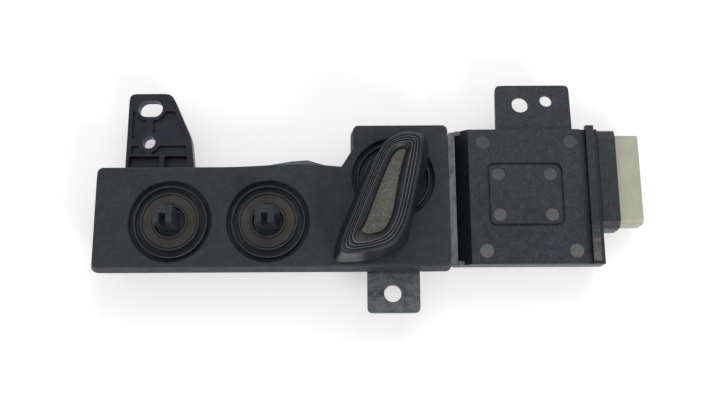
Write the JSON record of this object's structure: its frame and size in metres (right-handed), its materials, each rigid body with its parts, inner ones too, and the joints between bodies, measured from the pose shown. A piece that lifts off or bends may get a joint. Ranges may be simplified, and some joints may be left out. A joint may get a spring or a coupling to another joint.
{
  "type": "seat adjuster switch pack",
  "caption": "Flat switch pack with rubber-booted cushion switch stems, a recliner knob, a sealed electronics module and an edge connector.",
  "frame": {"origin": "middle of the footprint, on the plane the case's back lies on", "axes": "+X from the bracket end to the connector, +Y from the bottom tab to the rear brackets, +Z out of the case's back towards the knob"},
  "size_m": [0.189, 0.0806, 0.035],
  "materials": {
    "grey_nylon": "mottled glass-filled",
    "blue_black_plastic": "satin",
    "rubber": "matte",
    "black_plastic": "satin",
    "white_nylon": "natural",
    "knob_insert": "grained",
    "acetal": "natural",
    "board": "solder mask",
    "chip": "moulded",
    "capacitor": "can",
    "tinned_pin": "tinned",
    "zinc_screw": "zinc plated",
    "spring_steel": "bright",
    "magnet": "nickel plated"
  },
  "bodies": {
    "housing": {"rear_shell": "grey_nylon", "switch_frame": "blue_black_plastic", "rubber_cover": "rubber", "module_cover": "black_plastic", "connector_collar": "black_plastic", "connector_header": "white_nylon", "main_board": "board", "microcontroller": "chip", "voltage_regulator": "chip", "hall_sensor_front": "chip", "hall_sensor_rear": "chip", "hall_sensor_recliner": "chip", "capacitor_1": "capacitor", "capacitor_2": "capacitor", "slider_spring_left": "spring_steel", "slider_spring_right": "spring_steel", "recliner_spring": "spring_steel", "connector_pin_1": "tinned_pin", "connector_pin_2": "tinned_pin", "connector_pin_3": "tinned_pin", "connector_pin_4": "tinned_pin", "connector_pin_5": "tinned_pin", "connector_pin_6": "tinned_pin", "connector_pin_7": "tinned_pin", "connector_pin_8": "tinned_pin", "connector_pin_9": "tinned_pin", "connector_pin_10": "tinned_pin", "case_screw_1": "zinc_screw", "case_screw_2": "zinc_screw", "case_screw_3": "zinc_screw", "case_screw_4": "zinc_screw", "case_screw_5": "zinc_screw", "case_screw_6": "zinc_screw", "case_screw_7": "zinc_screw", "case_screw_8": "zinc_screw"},
    "cushion_slider": {"cushion_slider": "acetal", "front_return_spring": "spring_steel", "rear_return_spring": "spring_steel"},
    "front_lift": {"front_stem": "black_plastic", "front_boot": "rubber", "front_magnet_carrier": "acetal", "front_magnet": "magnet"},
    "rear_lift": {"rear_stem": "black_plastic", "rear_boot": "rubber", "rear_magnet_carrier": "acetal", "rear_magnet": "magnet"},
    "recliner": {"recliner_stem": "black_plastic", "recliner_boot": "rubber", "recliner_magnet_carrier": "acetal", "recliner_magnet": "magnet", "knob_shell": "black_plastic", "knob_insert": "knob_insert", "knob_clip": "spring_steel"}
  },
  "joints": [
    {"name": "cushion_slide", "type": "slide", "parent": "housing", "child": "cushion_slider", "axis": [1, 0, 0], "range_m": [-0.0012, 0.0012], "stiffness_N_per_m": 1500, "deforming": ["slider_spring_left", "slider_spring_right"]},
    {"name": "front_lift_slide", "type": "slide", "parent": "cushion_slider", "child": "front_lift", "axis": [0, 1, 0], "range_m": [-0.0012, 0.0012], "stiffness_N_per_m": 1500, "deforming": ["front_return_spring"]},
    {"name": "rear_lift_slide", "type": "slide", "parent": "cushion_slider", "child": "rear_lift", "axis": [0, 1, 0], "range_m": [-0.0012, 0.0012], "stiffness_N_per_m": 1500, "deforming": ["rear_return_spring"]},
    {"name": "recliner_turn", "type": "hinge", "parent": "housing", "child": "recliner", "pos_m": [0.00705, 0.0047, 0.02], "axis": [0, 0, 1], "range_deg": [-8, 8], "stiffness_Nm_per_rad": 0.6, "deforming": ["recliner_spring"]}
  ]
}
